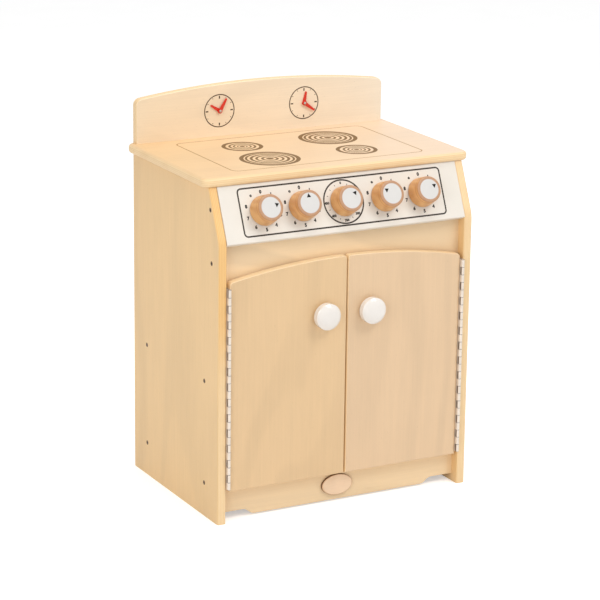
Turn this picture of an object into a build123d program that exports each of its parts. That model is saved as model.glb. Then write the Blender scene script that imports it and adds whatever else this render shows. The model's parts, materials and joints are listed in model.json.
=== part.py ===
"""A toddler's play cooker in birch plywood: two doors, five dials and two clocks.

Millimetres, +Z up, the front of the cooker faces -Y. The origin is on the floor, in the
middle of the whole object, door knobs included.
"""
from build123d import *
import os
from math import atan2, cos, hypot, radians, sin, sqrt

os.makedirs("parts", exist_ok=True)

# ------------------------------------------------------------------ carcass
WIDTH = 470.0                 # over the outer faces of the side panels
DEPTH = 324.0                 # side panel, front edge to rear edge
BOARD = 15.0                  # plywood of the sides, shelves and rails
KNEE_HEIGHT = 473.0           # where the side's front edge starts to lean back
KNEE_RADIUS = 45.0
SLANT_RISE = 84.0             # from the knee to the top of the side
SLANT_SETBACK = 37.5          # how far the lean has gone back over that rise
EDGE_EASE = 1.5               # rounding of the arrises that a hand seldom meets
SIDE_EASE = 3.0               # rounding of the sides' front arrises
SIDE_SCREW_RADIUS = 2.5
SIDE_SCREW_HEAD_RADIUS = 3.8
SIDE_SCREW_LENGTH = 50.0
SCREW_CLEARANCE = 0.05        # between a screw and its hole, all round
SCREW_TIP_ROOM = 1.0          # a blind hole goes this much deeper than its screw

# ------------------------------------------------------------------ worktop and backsplash
WORKTOP_THICKNESS = 16.0
WORKTOP_OVERHANG = 10.5       # beyond each side panel
WORKTOP_REAR_OVERHANG = 5.0
WORKTOP_NOSE = 4.0            # ahead of the top of the slant
WORKTOP_CORNER = 12.0
WORKTOP_ROUND = 6.0
BACKSPLASH_THICKNESS = 15.0
BACKSPLASH_INSET = 3.0        # from the worktop's rear edge
BACKSPLASH_CENTRE_HEIGHT = 91.5
BACKSPLASH_END_HEIGHT = 74.5
BACKSPLASH_CORNER = 12.0
BACKSPLASH_EASE = 2.0
BACKSPLASH_SCREW_SPACING = 125.0
BACKSPLASH_SCREW_COUNT = 3
BACKSPLASH_SCREW_LENGTH = 45.0
CLEAT = 18.0                  # square wooden strips that hold the worktop from below
CLEAT_LENGTH = 200.0
CLEAT_SCREW_RADIUS = 2.0
CLEAT_SCREW_HEAD_RADIUS = 3.8
CLEAT_SCREW_LENGTH = 28.0
CLEAT_SCREW_SPACING = 140.0
CLEAT_SCREW_STAGGER = 25.0    # between a cleat's upward screws and its sideways ones

# ------------------------------------------------------------------ back, shelves and rails
BACK_THICKNESS = 6.0
BACK_REBATE = 7.5             # width of the step in each side that takes the back
BACK_SCREW_RADIUS = 1.5
BACK_SCREW_HEAD_RADIUS = 2.9
BACK_SCREW_LENGTH = 20.0
BACK_SCREW_COUNT = 3          # in a row, along each shelf and up each side
BACK_SHELF_SCREW_SPACING = 150.0
BACK_SIDE_SCREW_SPACING = 130.0
BOTTOM_SHELF_TOP = 65.5
MIDDLE_SHELF_TOP = 240.5
MIDDLE_SHELF_SETBACK = 7.0    # behind the closed doors
SHELF_SCREW_INSET = 51.0      # from the front and rear edges of the side
DOOR_STOP_GAP = 3.0           # between the closed doors and the rails behind them
FASCIA_LAP = 11.0             # how far the rail reaches down behind the doors' shoulders
FASCIA_GAP = 0.2              # below the back of the control panel
APRON_FLOOR_GAP = 3.0
APRON_END_RISE = 10.0
APRON_END_LENGTH = 39.0
APRON_STEP_LENGTH = 24.0
PLAQUE_WIDTH = 58.0
PLAQUE_HEIGHT = 36.0
PLAQUE_THICKNESS = 4.0
PLAQUE_FROM_MIDDLE = -5.5
PLAQUE_HEIGHT_UP = 30.0       # plaque centre above the floor
PLAQUE_EASE = 1.0

# ------------------------------------------------------------------ control panel and dials
PANEL_THICKNESS = 15.0
PANEL_DROP = 3.0              # the panel's lower edge, below the knee along the slant
PANEL_SCREW_DROP = 34.0       # its side screws, below the top of the slant
DIAL_INNER_SPACING = 76.0     # from the middle dial, whose printed ring needs the room
DIAL_OUTER_SPACING = 70.0     # from there to the outermost dials
DIAL_BASE_RADIUS = 25.0
DIAL_TOP_RADIUS = 21.8
DIAL_HEIGHT = 28.0
DIAL_ROUND = 2.5
DIAL_GAP = 0.4                # between a dial and the panel
DIAL_FACE_RADIUS = 18.0
DIAL_FACE_THICKNESS = 2.0
DIAL_FACE_CLEARANCE = 0.1
DIAL_SCREW_RADIUS = 2.5
DIAL_SCREW_GRIP = 16.0        # length of the screw inside the dial
DIAL_SHAFT_CLEARANCE = 0.08   # the screw turns in the panel's bore
DIAL_FLANGE_RADIUS = 7.0       # the screw's washer-like head, behind the panel
DIAL_FLANGE_THICKNESS = 1.2
DIAL_FLANGE_GAP = 0.3

# ------------------------------------------------------------------ doors
DOOR_THICKNESS = 15.0
DOOR_EASE = 2.5               # rounding of the doors' arrises
DOOR_BOTTOM = 54.5
DOOR_APEX = 429.0             # top of the arch that both doors share
DOOR_ARCH_RADIUS = 1060.0
DOOR_OUTER_CORNER = 7.0
DOOR_MEETING_CORNER = 5.0
DOOR_MEETING_GAP = 2.5
DOOR_KNOB_RADIUS = 22.0
DOOR_KNOB_NECK_RADIUS = 17.0
DOOR_KNOB_NECK_HEIGHT = 4.0
DOOR_KNOB_RIM_HEIGHT = 15.0
DOOR_KNOB_HEIGHT = 22.0
DOOR_KNOB_WAIST_ROUND = 2.5
DOOR_KNOB_RIM_ROUND = 4.0
DOOR_KNOB_HEIGHT_UP = 333.5   # knob centre above the floor
DOOR_KNOB_FROM_MIDDLE = 42.3
DOOR_KNOB_SCREW_RADIUS = 2.0
DOOR_KNOB_SCREW_GRIP = 12.0
PAN_HEAD_RADIUS = 4.2
PAN_HEAD_HEIGHT = 2.6

# ------------------------------------------------------------------ piano hinges
LEAF_THICKNESS = 1.2
LEAF_DEPTH = 13.5
KNUCKLE_RADIUS = 3.0
KNUCKLE_PITCH = 13.0
KNUCKLE_GAP = 0.3             # between two knuckles, along the pin
KNUCKLE_PROUD = 0.4           # between the knuckles and the front of the door
HINGE_RISE = 5.5              # hinge's lower end above the door's bottom edge
PIN_RADIUS = 1.3
PIN_CLEARANCE = 0.07          # in the door leaf's knuckles, which turn on it
PIN_GRIP_CLEARANCE = 0.02     # in the frame leaf's knuckles, which hold it
HINGE_SCREW_RADIUS = 1.6
HINGE_SCREW_HEAD_RADIUS = 2.6
HINGE_SCREW_LENGTH = 12.0
HINGE_SCREW_COUNT = 7
HINGE_SCREW_END = 19.0        # from either end of the hinge to its last screw

# ------------------------------------------------------------------ magnetic catches
CATCH_WIDTH = 34.0
CATCH_HEIGHT = 14.0
CATCH_DEPTH = 15.0
CATCH_FROM_MIDDLE = 26.0
CATCH_GAP = 0.3               # between magnet and strike plate
CATCH_SCREW_RADIUS = 1.4
CATCH_SCREW_HEAD_RADIUS = 2.6
CATCH_SCREW_LENGTH = 26.0
CATCH_SCREW_SPACING = 25.0
CATCH_SCREW_INSET = 4.0       # from the back of the case
MAGNET_WIDTH = 14.0
MAGNET_HEIGHT = 6.0
MAGNET_DEPTH = 9.0
MAGNET_CLEARANCE = 0.1
STRIKE_WIDTH = 22.0
STRIKE_HEIGHT = 12.0
STRIKE_THICKNESS = 1.2
STRIKE_SCREW_RADIUS = 1.4
STRIKE_SCREW_HEAD_RADIUS = 2.5
STRIKE_SCREW_LENGTH = 10.0
STRIKE_SCREW_SPACING = 15.0

# ------------------------------------------------------------------ clocks
CLOCK_FROM_MIDDLE = 81.0
CLOCK_RISE = 43.8             # clock centre above the worktop
HAND_THICKNESS = 1.6
HAND_GAP = 0.3                # board to hour hand, hand to hand, hand to rivet head
HAND_HUB_RADIUS = 4.0
HAND_WIDTH = 6.4
HAND_TIP_WIDTH = 3.2
HOUR_HAND_LENGTH = 20.0
MINUTE_HAND_LENGTH = 24.0
RIVET_RADIUS = 1.2
RIVET_CLEARANCE = 0.07
RIVET_HEAD_RADIUS = 2.2
RIVET_HEAD_HEIGHT = 1.0
RIVET_DEPTH = 10.0            # into the backsplash
CLOCK_TIMES = {"left": (302.5, 30.0), "right": (10.5, 126.0)}   # hour, minute: degrees from 12

# ------------------------------------------------------------------ places that follow
WORKTOP_REAR = (DOOR_KNOB_HEIGHT + DEPTH + WORKTOP_REAR_OVERHANG) / 2
REAR = WORKTOP_REAR - WORKTOP_REAR_OVERHANG   # rear edges of the sides
FRONT = REAR - DEPTH                       # their front edges, and the doors' faces
OUTER = WIDTH / 2                          # outer face of a side panel, from the middle
INNER = OUTER - BOARD                      # inner face
SIDE_HEIGHT = KNEE_HEIGHT + SLANT_RISE
WORKTOP_TOP = SIDE_HEIGHT + WORKTOP_THICKNESS
DOOR_BACK = FRONT + DOOR_THICKNESS
RAIL_FRONT = DOOR_BACK + DOOR_STOP_GAP
RAIL_BACK = RAIL_FRONT + BOARD
BACK_FRONT = REAR - BACK_THICKNESS
BACK_BOTTOM = BOTTOM_SHELF_TOP - BOARD
BACKSPLASH_BACK = WORKTOP_REAR - BACKSPLASH_INSET
BACKSPLASH_FRONT = BACKSPLASH_BACK - BACKSPLASH_THICKNESS

# The slanted plane of the control panel: its origin is on the knee, its y runs up the slant.
SLANT_ANGLE = atan2(SLANT_SETBACK, SLANT_RISE)
SLANT_LENGTH = hypot(SLANT_SETBACK, SLANT_RISE)
SLANT = Plane(
    origin=(0, FRONT, KNEE_HEIGHT),
    x_dir=(1, 0, 0),
    z_dir=(0, -cos(SLANT_ANGLE), sin(SLANT_ANGLE)),
)
PANEL_BACK_RUN = (RAIL_FRONT - FRONT - PANEL_THICKNESS * cos(SLANT_ANGLE)) / sin(SLANT_ANGLE)
FASCIA_TOP = SLANT.from_local_coords((0, PANEL_BACK_RUN, -PANEL_THICKNESS)).Z - FASCIA_GAP

HINGE_GAP = 2 * KNUCKLE_RADIUS             # the leaves run tangent to their knuckles
DOOR_EDGE = INNER - HINGE_GAP
DOOR_SHOULDER = DOOR_APEX - DOOR_ARCH_RADIUS + sqrt(DOOR_ARCH_RADIUS**2 - DOOR_EDGE**2)
FASCIA_BOTTOM = DOOR_SHOULDER - FASCIA_LAP
HINGE_X = INNER - HINGE_GAP / 2
HINGE_Y = FRONT - KNUCKLE_PROUD - KNUCKLE_RADIUS
HINGE_BOTTOM = DOOR_BOTTOM + HINGE_RISE
KNUCKLE_COUNT = int((DOOR_SHOULDER - HINGE_BOTTOM) / KNUCKLE_PITCH)
HINGE_LENGTH = KNUCKLE_COUNT * KNUCKLE_PITCH
HINGE_SCREW_SPACING = (HINGE_LENGTH - 2 * HINGE_SCREW_END) / (HINGE_SCREW_COUNT - 1)
HINGE_SCREW_Y = FRONT + DOOR_THICKNESS / 2
CATCH_FRONT = DOOR_BACK + STRIKE_THICKNESS + CATCH_GAP
CATCH_TOP = MIDDLE_SHELF_TOP - BOARD
CATCH_SCREW_Y = CATCH_FRONT + CATCH_DEPTH - CATCH_SCREW_INSET


def row(count, spacing, middle=0.0):
    """Evenly spaced places, centred on the middle."""
    return [middle + spacing * (index - (count - 1) / 2) for index in range(count)]


def keep(part, node):
    """Label a finished piece and write it as its own STEP file."""
    part.label = node
    export_step(part, f"parts/{node}.step")


def placed(part, *planes):
    """Copies of a piece made at the origin, one on each plane."""
    with BuildPart() as copies:
        with Locations(*planes):
            add(part)
    return copies.part


def other_hand(part):
    """The same piece for the right-hand side."""
    with BuildPart() as mirrored:
        mirror(part, about=Plane.YZ)
    return mirrored.part


def keep_pair(part, node):
    """Write a left-hand piece and its mirror image."""
    keep(part, f"{node}_left")
    keep(other_hand(part), f"{node}_right")


def board(left, right, front, back, bottom, top):
    """A plain board between six limits."""
    with BuildPart() as plain:
        with BuildSketch(Plane.XY.offset(bottom)):
            with Locations(((left + right) / 2, (front + back) / 2)):
                Rectangle(right - left, back - front)
        extrude(amount=top - bottom)
    return plain.part


def countersunk_screw(radius, head_radius, length):
    """A wood screw that runs down -Z, its flat head flush with the origin."""
    with BuildPart() as screw:
        with BuildSketch(Plane.XZ):
            Polygon(
                (0, 0),
                (head_radius, 0),
                (radius, radius - head_radius),
                (radius, radius - length),
                (0, -length),
                align=None,
            )
        revolve(axis=Axis.Z)
    return screw.part


def pan_head_screw(radius, length, flange_radius=PAN_HEAD_RADIUS, flange_thickness=PAN_HEAD_HEIGHT / 2):
    """A machine screw that runs up +Z from the origin, its rounded head below."""
    with BuildPart() as screw:
        Cylinder(radius, length, align=(Align.CENTER, Align.CENTER, Align.MIN))
        Cylinder(flange_radius, flange_thickness, align=(Align.CENTER, Align.CENTER, Align.MAX))
        with Locations((0, 0, -flange_thickness)):
            Cylinder(PAN_HEAD_RADIUS, PAN_HEAD_HEIGHT / 2, align=(Align.CENTER, Align.CENTER, Align.MAX))
        fillet(screw.edges().group_by(Axis.Z)[0], PAN_HEAD_HEIGHT / 3)
    return screw.part


def facing(direction, places):
    """Planes at the given places that all look in one direction."""
    return [Plane(origin=place, z_dir=direction) for place in places]


def countersink(radius, head_radius):
    """A countersunk clearance hole right through, for the screw of the same sizes."""
    CounterSinkHole(
        radius + SCREW_CLEARANCE,
        head_radius + SCREW_CLEARANCE,
        counter_sink_angle=90,
    )


def pilot(radius, depth):
    """A blind hole for the end of a screw that reaches this deep."""
    Hole(radius + SCREW_CLEARANCE, depth=depth + SCREW_TIP_ROOM)


# ------------------------------------------------------------------ where the screws go
# Each list holds (y, z) places on the left side, or x places on a board.
panel_screw_point = SLANT.from_local_coords((0, SLANT_LENGTH - PANEL_SCREW_DROP, -PANEL_THICKNESS / 2))
shelf_screw_ys = (FRONT + SHELF_SCREW_INSET, REAR - SHELF_SCREW_INSET)
panel_ends = [(panel_screw_point.Y, panel_screw_point.Z)]
fascia_ends = [(RAIL_FRONT + BOARD / 2, (FASCIA_TOP + FASCIA_BOTTOM) / 2)]
middle_shelf_ends = [(y, MIDDLE_SHELF_TOP - BOARD / 2) for y in shelf_screw_ys]
bottom_shelf_ends = [(y, BOTTOM_SHELF_TOP - BOARD / 2) for y in shelf_screw_ys]
board_ends = panel_ends + fascia_ends + middle_shelf_ends + bottom_shelf_ends

hinge_zs = row(HINGE_SCREW_COUNT, HINGE_SCREW_SPACING, HINGE_BOTTOM + HINGE_LENGTH / 2)
back_side_zs = row(BACK_SCREW_COUNT, BACK_SIDE_SCREW_SPACING, (BACK_BOTTOM + SIDE_HEIGHT) / 2)
back_side_x = INNER + BACK_REBATE / 2
back_shelf_xs = row(BACK_SCREW_COUNT, BACK_SHELF_SCREW_SPACING)
back_shelf_zs = (MIDDLE_SHELF_TOP - BOARD / 2, BOTTOM_SHELF_TOP - BOARD / 2)
back_screw_places = [(hand * back_side_x, REAR, z) for hand in (-1, 1) for z in back_side_zs]
back_screw_places += [(x, REAR, z) for x in back_shelf_xs for z in back_shelf_zs]

cleat_x = INNER - CLEAT / 2
cleat_middle = (FRONT + SLANT_SETBACK + REAR) / 2
cleat_up_ys = row(2, CLEAT_SCREW_SPACING, cleat_middle)
cleat_side_ys = [y + CLEAT_SCREW_STAGGER for y in cleat_up_ys]
backsplash_screw_xs = row(BACKSPLASH_SCREW_COUNT, BACKSPLASH_SCREW_SPACING)
backsplash_screw_y = BACKSPLASH_BACK - BACKSPLASH_THICKNESS / 2
catch_screw_xs = row(2, CATCH_SCREW_SPACING, -CATCH_FROM_MIDDLE)
strike_screw_xs = row(2, STRIKE_SCREW_SPACING, -CATCH_FROM_MIDDLE)
catch_z = CATCH_TOP - CATCH_HEIGHT / 2


def end_pilots(places):
    """Pilot holes in both ends of a board that fits between the side panels."""
    for hand in (-1, 1):
        with Locations(*facing((hand, 0, 0), [(hand * INNER, y, z) for y, z in places])):
            pilot(SIDE_SCREW_RADIUS, SIDE_SCREW_LENGTH - BOARD)


def back_pilots(z):
    """Pilot holes in a shelf's rear edge for the screws of the back panel."""
    with Locations(*facing((0, 1, 0), [(x, BACK_FRONT, z) for x in back_shelf_xs])):
        pilot(BACK_SCREW_RADIUS, BACK_SCREW_LENGTH - BACK_THICKNESS)


# ------------------------------------------------------------------ side panels
with BuildPart() as side_panel:
    with BuildSketch(Plane.YZ.offset(-OUTER)) as side_outline:
        Polygon(
            (FRONT, 0),
            (REAR, 0),
            (REAR, SIDE_HEIGHT),
            (FRONT + SLANT_SETBACK, SIDE_HEIGHT),
            (FRONT, KNEE_HEIGHT),
            align=None,
        )
        knee = side_outline.vertices().group_by(Axis.X)[0].sort_by(Axis.Y)[-1]
        fillet(knee, KNEE_RADIUS)
    extrude(amount=BOARD)
    leading_faces = side_panel.faces().filter_by(lambda face: face.normal_at().Y < -0.5)
    fillet(leading_faces.edges().filter_by(Axis.X, reverse=True), SIDE_EASE)
    with BuildSketch(Plane.XY.offset(BACK_BOTTOM)):
        with Locations((-INNER, REAR)):
            Rectangle(2 * BACK_REBATE, 2 * BACK_THICKNESS)
    extrude(amount=SIDE_HEIGHT - BACK_BOTTOM, mode=Mode.SUBTRACT)
    with Locations(*facing((-1, 0, 0), [(-OUTER, y, z) for y, z in board_ends])):
        countersink(SIDE_SCREW_RADIUS, SIDE_SCREW_HEAD_RADIUS)
    with Locations(*facing((1, 0, 0), [(-INNER, HINGE_SCREW_Y, z) for z in hinge_zs])):
        pilot(HINGE_SCREW_RADIUS, HINGE_SCREW_LENGTH - LEAF_THICKNESS)
    with Locations(*facing((1, 0, 0), [(-INNER, y, SIDE_HEIGHT - CLEAT / 2) for y in cleat_side_ys])):
        pilot(CLEAT_SCREW_RADIUS, CLEAT_SCREW_LENGTH - CLEAT)
    with Locations(*facing((0, 1, 0), [(-back_side_x, BACK_FRONT, z) for z in back_side_zs])):
        pilot(BACK_SCREW_RADIUS, BACK_SCREW_LENGTH - BACK_THICKNESS)
keep_pair(side_panel.part, "side_panel")

left_side_screws = placed(
    countersunk_screw(SIDE_SCREW_RADIUS, SIDE_SCREW_HEAD_RADIUS, SIDE_SCREW_LENGTH),
    *facing((-1, 0, 0), [(-OUTER, y, z) for y, z in board_ends]),
)
with BuildPart() as side_screws:
    add(left_side_screws)
    mirror(left_side_screws, about=Plane.YZ)
keep(side_screws.part, "side_screws")

# ------------------------------------------------------------------ worktop
with BuildPart() as worktop:
    worktop_front = FRONT + SLANT_SETBACK - WORKTOP_NOSE
    with BuildSketch(Plane.XY.offset(SIDE_HEIGHT)):
        with Locations((0, (worktop_front + WORKTOP_REAR) / 2)):
            RectangleRounded(WIDTH + 2 * WORKTOP_OVERHANG, WORKTOP_REAR - worktop_front, WORKTOP_CORNER)
    extrude(amount=WORKTOP_THICKNESS)
    fillet(worktop.faces().filter_by(Axis.Z).edges(), WORKTOP_ROUND)
    with Locations(*facing((0, 0, -1), [(x, backsplash_screw_y, SIDE_HEIGHT) for x in backsplash_screw_xs])):
        countersink(SIDE_SCREW_RADIUS, SIDE_SCREW_HEAD_RADIUS)
    cleat_tops = [(hand * cleat_x, y, SIDE_HEIGHT) for hand in (-1, 1) for y in cleat_up_ys]
    with Locations(*facing((0, 0, -1), cleat_tops)):
        pilot(CLEAT_SCREW_RADIUS, CLEAT_SCREW_LENGTH - CLEAT)
keep(worktop.part, "worktop")

# ------------------------------------------------------------------ backsplash
with BuildPart() as backsplash:
    with BuildSketch(Plane.XZ.offset(-BACKSPLASH_BACK)) as backsplash_outline:
        with BuildLine():
            Polyline(
                (-OUTER, WORKTOP_TOP + BACKSPLASH_END_HEIGHT),
                (-OUTER, WORKTOP_TOP),
                (OUTER, WORKTOP_TOP),
                (OUTER, WORKTOP_TOP + BACKSPLASH_END_HEIGHT),
            )
            ThreePointArc(
                (OUTER, WORKTOP_TOP + BACKSPLASH_END_HEIGHT),
                (0, WORKTOP_TOP + BACKSPLASH_CENTRE_HEIGHT),
                (-OUTER, WORKTOP_TOP + BACKSPLASH_END_HEIGHT),
            )
        make_face()
        fillet(backsplash_outline.vertices().group_by(Axis.Y)[-1], BACKSPLASH_CORNER)
    extrude(amount=BACKSPLASH_THICKNESS)
    broad_faces = backsplash.faces().filter_by(Axis.Y)
    fillet(broad_faces.edges().filter_by(lambda edge: edge.center().Z > WORKTOP_TOP + 1), BACKSPLASH_EASE)
    clock_z = WORKTOP_TOP + CLOCK_RISE
    clock_centres = [(hand * CLOCK_FROM_MIDDLE, BACKSPLASH_FRONT, clock_z) for hand in (-1, 1)]
    with Locations(*facing((0, -1, 0), clock_centres)):
        pilot(RIVET_RADIUS, RIVET_DEPTH)
    with Locations(*facing((0, 0, -1), [(x, backsplash_screw_y, WORKTOP_TOP) for x in backsplash_screw_xs])):
        pilot(SIDE_SCREW_RADIUS, BACKSPLASH_SCREW_LENGTH - WORKTOP_THICKNESS)
keep(backsplash.part, "backsplash")

backsplash_screws = placed(
    countersunk_screw(SIDE_SCREW_RADIUS, SIDE_SCREW_HEAD_RADIUS, BACKSPLASH_SCREW_LENGTH),
    *facing((0, 0, -1), [(x, backsplash_screw_y, SIDE_HEIGHT) for x in backsplash_screw_xs]),
)
keep(backsplash_screws, "backsplash_screws")

# ------------------------------------------------------------------ clock hands and rivets
def clock_hand(length):
    """A tapered hand that points up its plane's y, with a hole for the rivet."""
    with BuildPart() as hand:
        with BuildSketch():
            Circle(HAND_HUB_RADIUS)
            Polygon(
                (-HAND_WIDTH / 2, 0),
                (HAND_WIDTH / 2, 0),
                (HAND_TIP_WIDTH / 2, length - HAND_TIP_WIDTH / 2),
                (-HAND_TIP_WIDTH / 2, length - HAND_TIP_WIDTH / 2),
                align=None,
            )
            with Locations((0, length - HAND_TIP_WIDTH / 2)):
                Circle(HAND_TIP_WIDTH / 2)
            Circle(RIVET_RADIUS + RIVET_CLEARANCE, mode=Mode.SUBTRACT)
        extrude(amount=HAND_THICKNESS)
    return hand.part


def clock_plane(x, rise, turn):
    """A plane this far in front of the clock's face, turned clockwise from twelve."""
    return Plane(
        origin=(x, BACKSPLASH_FRONT - rise, WORKTOP_TOP + CLOCK_RISE),
        x_dir=(cos(radians(turn)), 0, -sin(radians(turn))),
        z_dir=(0, -1, 0),
    )


minute_rise = 2 * HAND_GAP + HAND_THICKNESS
rivet_rise = minute_rise + HAND_THICKNESS + HAND_GAP
for hand_side, clock_x in (("left", -CLOCK_FROM_MIDDLE), ("right", CLOCK_FROM_MIDDLE)):
    hour_turn, minute_turn = CLOCK_TIMES[hand_side]
    hour_plane = clock_plane(clock_x, HAND_GAP, hour_turn)
    minute_plane = clock_plane(clock_x, minute_rise, minute_turn)
    keep(placed(clock_hand(HOUR_HAND_LENGTH), hour_plane), f"clock_hour_hand_{hand_side}")
    keep(placed(clock_hand(MINUTE_HAND_LENGTH), minute_plane), f"clock_minute_hand_{hand_side}")

with BuildPart() as rivet:
    Cylinder(
        RIVET_RADIUS,
        RIVET_DEPTH + rivet_rise,
        align=(Align.CENTER, Align.CENTER, Align.MAX),
    )
    Cylinder(
        RIVET_HEAD_RADIUS,
        RIVET_HEAD_HEIGHT,
        align=(Align.CENTER, Align.CENTER, Align.MIN),
    )
    fillet(rivet.edges().group_by(Axis.Z)[-1], RIVET_HEAD_HEIGHT / 2)
rivet_planes = [clock_plane(hand * CLOCK_FROM_MIDDLE, rivet_rise, 0) for hand in (-1, 1)]
clock_rivets = placed(rivet.part, *rivet_planes)
keep(clock_rivets, "clock_rivets")

# ------------------------------------------------------------------ back panel
with BuildPart() as back_panel:
    add(board(-INNER - BACK_REBATE, INNER + BACK_REBATE, BACK_FRONT, REAR, BACK_BOTTOM, SIDE_HEIGHT))
    with Locations(*facing((0, 1, 0), back_screw_places)):
        countersink(BACK_SCREW_RADIUS, BACK_SCREW_HEAD_RADIUS)
keep(back_panel.part, "back_panel")

back_screws = placed(
    countersunk_screw(BACK_SCREW_RADIUS, BACK_SCREW_HEAD_RADIUS, BACK_SCREW_LENGTH),
    *facing((0, 1, 0), back_screw_places),
)
keep(back_screws, "back_screws")

# ------------------------------------------------------------------ shelves
with BuildPart() as shelf_middle:
    shelf_front = DOOR_BACK + MIDDLE_SHELF_SETBACK
    add(board(-INNER, INNER, shelf_front, BACK_FRONT, MIDDLE_SHELF_TOP - BOARD, MIDDLE_SHELF_TOP))
    end_pilots(middle_shelf_ends)
    back_pilots(back_shelf_zs[0])
    for hand in (-1, 1):
        with Locations(*facing((0, 0, -1), [(hand * x, CATCH_SCREW_Y, CATCH_TOP) for x in catch_screw_xs])):
            pilot(CATCH_SCREW_RADIUS, CATCH_SCREW_LENGTH - CATCH_HEIGHT)
keep(shelf_middle.part, "shelf_middle")

with BuildPart() as shelf_bottom:
    add(board(-INNER, INNER, RAIL_BACK, BACK_FRONT, BOTTOM_SHELF_TOP - BOARD, BOTTOM_SHELF_TOP))
    end_pilots(bottom_shelf_ends)
    back_pilots(back_shelf_zs[1])
keep(shelf_bottom.part, "shelf_bottom")

# ------------------------------------------------------------------ apron and blank plaque
with BuildPart() as apron:
    with BuildSketch(Plane.XZ.offset(-RAIL_BACK)):
        with BuildLine():
            end_bottom = APRON_FLOOR_GAP + APRON_END_RISE
            step_outer = INNER - APRON_END_LENGTH
            step_inner = step_outer - APRON_STEP_LENGTH
            step_middle = (step_outer + step_inner) / 2
            Polyline(
                (0, BOTTOM_SHELF_TOP),
                (INNER, BOTTOM_SHELF_TOP),
                (INNER, end_bottom),
                (step_outer, end_bottom),
            )
            Bezier(
                (step_outer, end_bottom),
                (step_middle, end_bottom),
                (step_middle, APRON_FLOOR_GAP),
                (step_inner, APRON_FLOOR_GAP),
            )
            Line((step_inner, APRON_FLOOR_GAP), (0, APRON_FLOOR_GAP))
            mirror(about=Plane.YZ)
        make_face()
    extrude(amount=BOARD)
    underside = apron.faces().filter_by(lambda face: face.normal_at().Z < -0.3)
    fillet(underside.edges().filter_by(lambda edge: edge.length > BOARD + 1), EDGE_EASE)
keep(apron.part, "apron")

with BuildPart() as plaque:
    with BuildSketch(Plane.XZ.offset(-RAIL_FRONT)):
        with Locations((PLAQUE_FROM_MIDDLE, PLAQUE_HEIGHT_UP)):
            Ellipse(PLAQUE_WIDTH / 2, PLAQUE_HEIGHT / 2)
    extrude(amount=PLAQUE_THICKNESS)
    fillet(plaque.edges().group_by(Axis.Y)[0], PLAQUE_EASE)
keep(plaque.part, "plaque")

# ------------------------------------------------------------------ fascia rail
with BuildPart() as fascia_rail:
    add(board(-INNER, INNER, RAIL_FRONT, RAIL_BACK, FASCIA_BOTTOM, FASCIA_TOP))
    end_pilots(fascia_ends)
keep(fascia_rail.part, "fascia_rail")

# ------------------------------------------------------------------ cleats below the worktop
with BuildPart() as cleat:
    cleat_front = cleat_middle - CLEAT_LENGTH / 2
    cleat_rear = cleat_front + CLEAT_LENGTH
    add(board(-INNER, CLEAT - INNER, cleat_front, cleat_rear, SIDE_HEIGHT - CLEAT, SIDE_HEIGHT))
    with Locations(*facing((0, 0, -1), [(-cleat_x, y, SIDE_HEIGHT - CLEAT) for y in cleat_up_ys])):
        countersink(CLEAT_SCREW_RADIUS, CLEAT_SCREW_HEAD_RADIUS)
    with Locations(*facing((1, 0, 0), [(CLEAT - INNER, y, SIDE_HEIGHT - CLEAT / 2) for y in cleat_side_ys])):
        countersink(CLEAT_SCREW_RADIUS, CLEAT_SCREW_HEAD_RADIUS)
keep_pair(cleat.part, "cleat")

left_cleat_screws = placed(
    countersunk_screw(CLEAT_SCREW_RADIUS, CLEAT_SCREW_HEAD_RADIUS, CLEAT_SCREW_LENGTH),
    *facing((0, 0, -1), [(-cleat_x, y, SIDE_HEIGHT - CLEAT) for y in cleat_up_ys]),
    *facing((1, 0, 0), [(CLEAT - INNER, y, SIDE_HEIGHT - CLEAT / 2) for y in cleat_side_ys]),
)
with BuildPart() as cleat_screws:
    add(left_cleat_screws)
    mirror(left_cleat_screws, about=Plane.YZ)
keep(cleat_screws.part, "cleat_screws")

# ------------------------------------------------------------------ control panel
dial_outer_x = DIAL_INNER_SPACING + DIAL_OUTER_SPACING
dial_xs = (-dial_outer_x, -DIAL_INNER_SPACING, 0, DIAL_INNER_SPACING, dial_outer_x)


def dial_plane(x, height):
    """A plane across a dial's axis, this high above the panel's face and midway up the slant."""
    centre = SLANT.from_local_coords((x, SLANT_LENGTH / 2, height))
    return Plane(origin=centre, x_dir=SLANT.x_dir, z_dir=SLANT.z_dir)


with BuildPart() as control_panel:
    with BuildSketch(Plane.YZ.offset(-INNER)):
        face_bottom = SLANT.from_local_coords((0, -PANEL_DROP, 0))
        back_bottom = SLANT.from_local_coords((0, -PANEL_DROP, -PANEL_THICKNESS))
        back_setback = SLANT_SETBACK + PANEL_THICKNESS / cos(SLANT_ANGLE)
        Polygon(
            (face_bottom.Y, face_bottom.Z),
            (back_bottom.Y, back_bottom.Z),
            (FRONT + back_setback, SIDE_HEIGHT),
            (FRONT + SLANT_SETBACK, SIDE_HEIGHT),
            align=None,
        )
    extrude(amount=2 * INNER)
    fillet(control_panel.edges().filter_by(Axis.X).sort_by(Axis.Y)[0], EDGE_EASE)
    end_pilots(panel_ends)
    with Locations(*[dial_plane(x, 0) for x in dial_xs]):
        Hole(DIAL_SCREW_RADIUS + DIAL_SHAFT_CLEARANCE)
keep(control_panel.part, "control_panel")

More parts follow.
